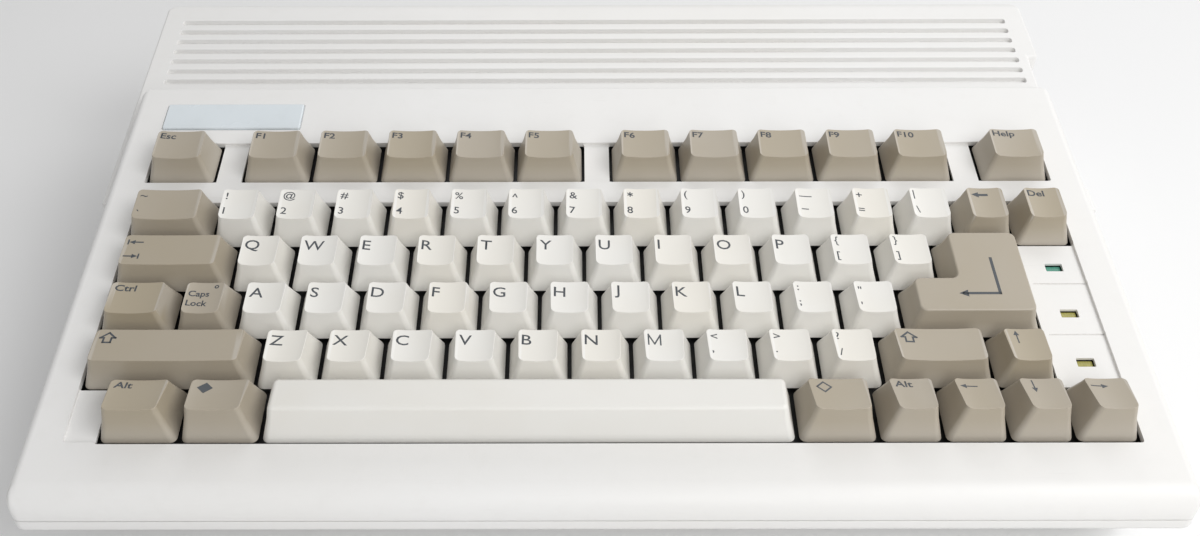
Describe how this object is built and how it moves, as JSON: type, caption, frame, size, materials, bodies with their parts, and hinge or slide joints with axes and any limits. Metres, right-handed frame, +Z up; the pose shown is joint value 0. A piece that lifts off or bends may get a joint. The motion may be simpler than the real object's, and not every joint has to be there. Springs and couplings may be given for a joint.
{
  "type": "vintage home computer",
  "caption": "Wedge-shaped home computer with a full keyboard, function keys, status lamps, grooved rear deck, disk slot and rear sockets.",
  "frame": {"origin": "on the table, under the middle of the case's bounding box", "axes": "+X to the typist's right, +Y to the back, +Z up"},
  "size_m": [0.35, 0.24, 0.0748],
  "materials": {
    "case_plastic": "fine-grained moulded shell, warm off-white",
    "tan_key_plastic": "smooth satin key cap, grey-tan",
    "pale_key_plastic": "smooth satin key cap, off-white",
    "black_plastic": "moulded, dull",
    "circuit_board": "solder mask",
    "sheet_steel": "plated sheet",
    "connector_metal": "plated shell",
    "membrane_film": "translucent film",
    "foot_rubber": "dull",
    "green_lens": "tinted lens",
    "amber_lens": "tinted lens"
  },
  "bodies": {
    "case": {"top_case": "case_plastic", "bottom_case": "case_plastic", "mainboard": "circuit_board", "shield_plate": "sheet_steel", "floppy_drive": "sheet_steel", "card_slot": "black_plastic", "foot_front_left": "foot_rubber", "foot_front_right": "foot_rubber", "foot_rear_left": "foot_rubber", "foot_rear_right": "foot_rubber", "power_socket": "connector_metal", "parallel_port": "connector_metal", "serial_port": "connector_metal", "external_drive_port": "connector_metal", "video_port": "connector_metal", "audio_video_jacks": "connector_metal", "joystick_port": "connector_metal", "mouse_port": "connector_metal", "power_lamp": "green_lens", "floppy_lamp": "amber_lens", "hard_disk_lamp": "amber_lens", "keyboard_frame": "black_plastic", "keyboard_membrane": "membrane_film", "keyboard_backplate": "sheet_steel"},
    "trapdoor_cover": {"trapdoor_cover": "case_plastic"},
    "floppy_eject_button": {"floppy_eject_button": "pale_key_plastic"},
    "key_escape": {"key_escape": "tan_key_plastic"},
    "key_f1": {"key_f1": "tan_key_plastic"},
    "key_f2": {"key_f2": "tan_key_plastic"},
    "key_f3": {"key_f3": "tan_key_plastic"},
    "key_f4": {"key_f4": "tan_key_plastic"},
    "key_f5": {"key_f5": "tan_key_plastic"},
    "key_f6": {"key_f6": "tan_key_plastic"},
    "key_f7": {"key_f7": "tan_key_plastic"},
    "key_f8": {"key_f8": "tan_key_plastic"},
    "key_f9": {"key_f9": "tan_key_plastic"},
    "key_f10": {"key_f10": "tan_key_plastic"},
    "key_help": {"key_help": "tan_key_plastic"},
    "key_grave": {"key_grave": "tan_key_plastic"},
    "key_backspace": {"key_backspace": "tan_key_plastic"},
    "key_delete": {"key_delete": "tan_key_plastic"},
    "key_tab": {"key_tab": "tan_key_plastic"},
    "key_return": {"key_return": "tan_key_plastic"},
    "key_control": {"key_control": "tan_key_plastic"},
    "key_caps_lock": {"key_caps_lock": "tan_key_plastic"},
    "key_shift_left": {"key_shift_left": "tan_key_plastic"},
    "key_shift_right": {"key_shift_right": "tan_key_plastic"},
    "key_up": {"key_up": "tan_key_plastic"},
    "key_alt_left": {"key_alt_left": "tan_key_plastic"},
    "key_special_left": {"key_special_left": "tan_key_plastic"},
    "key_space": {"key_space": "pale_key_plastic"},
    "key_special_right": {"key_special_right": "tan_key_plastic"},
    "key_alt_right": {"key_alt_right": "tan_key_plastic"},
    "key_left": {"key_left": "tan_key_plastic"},
    "key_down": {"key_down": "tan_key_plastic"},
    "key_right": {"key_right": "tan_key_plastic"},
    "keys_number_row": {"keys_number_row": "pale_key_plastic"},
    "keys_upper_row": {"keys_upper_row": "pale_key_plastic"},
    "keys_home_row": {"keys_home_row": "pale_key_plastic"},
    "keys_lower_row": {"keys_lower_row": "pale_key_plastic"}
  },
  "joints": [
    {"name": "trapdoor_hinge", "type": "hinge", "parent": "case", "child": "trapdoor_cover", "pos_m": [-0.095, -0.03955, 0.00525], "axis": [1, 0, 0], "range_deg": [0, 90]},
    {"name": "eject_press", "type": "slide", "parent": "case", "child": "floppy_eject_button", "axis": [-1, 0, 0], "range_m": [0, 0.004], "stiffness_N_per_m": 200, "springref_m": -0.003},
    {"name": "press_escape", "type": "slide", "parent": "case", "child": "key_escape", "axis": [0, 0.1564, -0.9877], "range_m": [0, 0.0035], "stiffness_N_per_m": 150, "springref_m": -0.002},
    {"name": "press_f1", "type": "slide", "parent": "case", "child": "key_f1", "axis": [0, 0.1564, -0.9877], "range_m": [0, 0.0035], "stiffness_N_per_m": 150, "springref_m": -0.002},
    {"name": "press_f2", "type": "slide", "parent": "case", "child": "key_f2", "axis": [0, 0.1564, -0.9877], "range_m": [0, 0.0035], "stiffness_N_per_m": 150, "springref_m": -0.002},
    {"name": "press_f3", "type": "slide", "parent": "case", "child": "key_f3", "axis": [0, 0.1564, -0.9877], "range_m": [0, 0.0035], "stiffness_N_per_m": 150, "springref_m": -0.002},
    {"name": "press_f4", "type": "slide", "parent": "case", "child": "key_f4", "axis": [0, 0.1564, -0.9877], "range_m": [0, 0.0035], "stiffness_N_per_m": 150, "springref_m": -0.002},
    {"name": "press_f5", "type": "slide", "parent": "case", "child": "key_f5", "axis": [0, 0.1564, -0.9877], "range_m": [0, 0.0035], "stiffness_N_per_m": 150, "springref_m": -0.002},
    {"name": "press_f6", "type": "slide", "parent": "case", "child": "key_f6", "axis": [0, 0.1564, -0.9877], "range_m": [0, 0.0035], "stiffness_N_per_m": 150, "springref_m": -0.002},
    {"name": "press_f7", "type": "slide", "parent": "case", "child": "key_f7", "axis": [0, 0.1564, -0.9877], "range_m": [0, 0.0035], "stiffness_N_per_m": 150, "springref_m": -0.002},
    {"name": "press_f8", "type": "slide", "parent": "case", "child": "key_f8", "axis": [0, 0.1564, -0.9877], "range_m": [0, 0.0035], "stiffness_N_per_m": 150, "springref_m": -0.002},
    {"name": "press_f9", "type": "slide", "parent": "case", "child": "key_f9", "axis": [0, 0.1564, -0.9877], "range_m": [0, 0.0035], "stiffness_N_per_m": 150, "springref_m": -0.002},
    {"name": "press_f10", "type": "slide", "parent": "case", "child": "key_f10", "axis": [0, 0.1564, -0.9877], "range_m": [0, 0.0035], "stiffness_N_per_m": 150, "springref_m": -0.002},
    {"name": "press_help", "type": "slide", "parent": "case", "child": "key_help", "axis": [0, 0.1564, -0.9877], "range_m": [0, 0.0035], "stiffness_N_per_m": 150, "springref_m": -0.002},
    {"name": "press_grave", "type": "slide", "parent": "case", "child": "key_grave", "axis": [0, 0.1564, -0.9877], "range_m": [0, 0.0035], "stiffness_N_per_m": 150, "springref_m": -0.002},
    {"name": "press_backspace", "type": "slide", "parent": "case", "child": "key_backspace", "axis": [0, 0.1564, -0.9877], "range_m": [0, 0.0035], "stiffness_N_per_m": 150, "springref_m": -0.002},
    {"name": "press_delete", "type": "slide", "parent": "case", "child": "key_delete", "axis": [0, 0.1564, -0.9877], "range_m": [0, 0.0035], "stiffness_N_per_m": 150, "springref_m": -0.002},
    {"name": "press_tab", "type": "slide", "parent": "case", "child": "key_tab", "axis": [0, 0.1564, -0.9877], "range_m": [0, 0.0035], "stiffness_N_per_m": 300, "springref_m": -0.002},
    {"name": "press_return", "type": "slide", "parent": "case", "child": "key_return", "axis": [0, 0.1564, -0.9877], "range_m": [0, 0.0035], "stiffness_N_per_m": 300, "springref_m": -0.002},
    {"name": "press_control", "type": "slide", "parent": "case", "child": "key_control", "axis": [0, 0.1564, -0.9877], "range_m": [0, 0.0035], "stiffness_N_per_m": 150, "springref_m": -0.002},
    {"name": "press_caps_lock", "type": "slide", "parent": "case", "child": "key_caps_lock", "axis": [0, 0.1564, -0.9877], "range_m": [0, 0.0035], "stiffness_N_per_m": 150, "springref_m": -0.002},
    {"name": "press_shift_left", "type": "slide", "parent": "case", "child": "key_shift_left", "axis": [0, 0.1564, -0.9877], "range_m": [0, 0.0035], "stiffness_N_per_m": 300, "springref_m": -0.002},
    {"name": "press_shift_right", "type": "slide", "parent": "case", "child": "key_shift_right", "axis": [0, 0.1564, -0.9877], "range_m": [0, 0.0035], "stiffness_N_per_m": 150, "springref_m": -0.002},
    {"name": "press_up", "type": "slide", "parent": "case", "child": "key_up", "axis": [0, 0.1564, -0.9877], "range_m": [0, 0.0035], "stiffness_N_per_m": 150, "springref_m": -0.002},
    {"name": "press_alt_left", "type": "slide", "parent": "case", "child": "key_alt_left", "axis": [0, 0.1564, -0.9877], "range_m": [0, 0.0035], "stiffness_N_per_m": 150, "springref_m": -0.002},
    {"name": "press_special_left", "type": "slide", "parent": "case", "child": "key_special_left", "axis": [0, 0.1564, -0.9877], "range_m": [0, 0.0035], "stiffness_N_per_m": 150, "springref_m": -0.002},
    {"name": "press_space", "type": "slide", "parent": "case", "child": "key_space", "axis": [0, 0.1564, -0.9877], "range_m": [0, 0.0035], "stiffness_N_per_m": 300, "springref_m": -0.002},
    {"name": "press_special_right", "type": "slide", "parent": "case", "child": "key_special_right", "axis": [0, 0.1564, -0.9877], "range_m": [0, 0.0035], "stiffness_N_per_m": 150, "springref_m": -0.002},
    {"name": "press_alt_right", "type": "slide", "parent": "case", "child": "key_alt_right", "axis": [0, 0.1564, -0.9877], "range_m": [0, 0.0035], "stiffness_N_per_m": 150, "springref_m": -0.002},
    {"name": "press_left", "type": "slide", "parent": "case", "child": "key_left", "axis": [0, 0.1564, -0.9877], "range_m": [0, 0.0035], "stiffness_N_per_m": 150, "springref_m": -0.002},
    {"name": "press_down", "type": "slide", "parent": "case", "child": "key_down", "axis": [0, 0.1564, -0.9877], "range_m": [0, 0.0035], "stiffness_N_per_m": 150, "springref_m": -0.002},
    {"name": "press_right", "type": "slide", "parent": "case", "child": "key_right", "axis": [0, 0.1564, -0.9877], "range_m": [0, 0.0035], "stiffness_N_per_m": 150, "springref_m": -0.002},
    {"name": "press_number_row", "type": "slide", "parent": "case", "child": "keys_number_row", "axis": [0, 0.1564, -0.9877], "range_m": [0, 0.0035], "stiffness_N_per_m": 1950, "springref_m": -0.002},
    {"name": "press_upper_row", "type": "slide", "parent": "case", "child": "keys_upper_row", "axis": [0, 0.1564, -0.9877], "range_m": [0, 0.0035], "stiffness_N_per_m": 1800, "springref_m": -0.002},
    {"name": "press_home_row", "type": "slide", "parent": "case", "child": "keys_home_row", "axis": [0, 0.1564, -0.9877], "range_m": [0, 0.0035], "stiffness_N_per_m": 1650, "springref_m": -0.002},
    {"name": "press_lower_row", "type": "slide", "parent": "case", "child": "keys_lower_row", "axis": [0, 0.1564, -0.9877], "range_m": [0, 0.0035], "stiffness_N_per_m": 1500, "springref_m": -0.002}
  ]
}
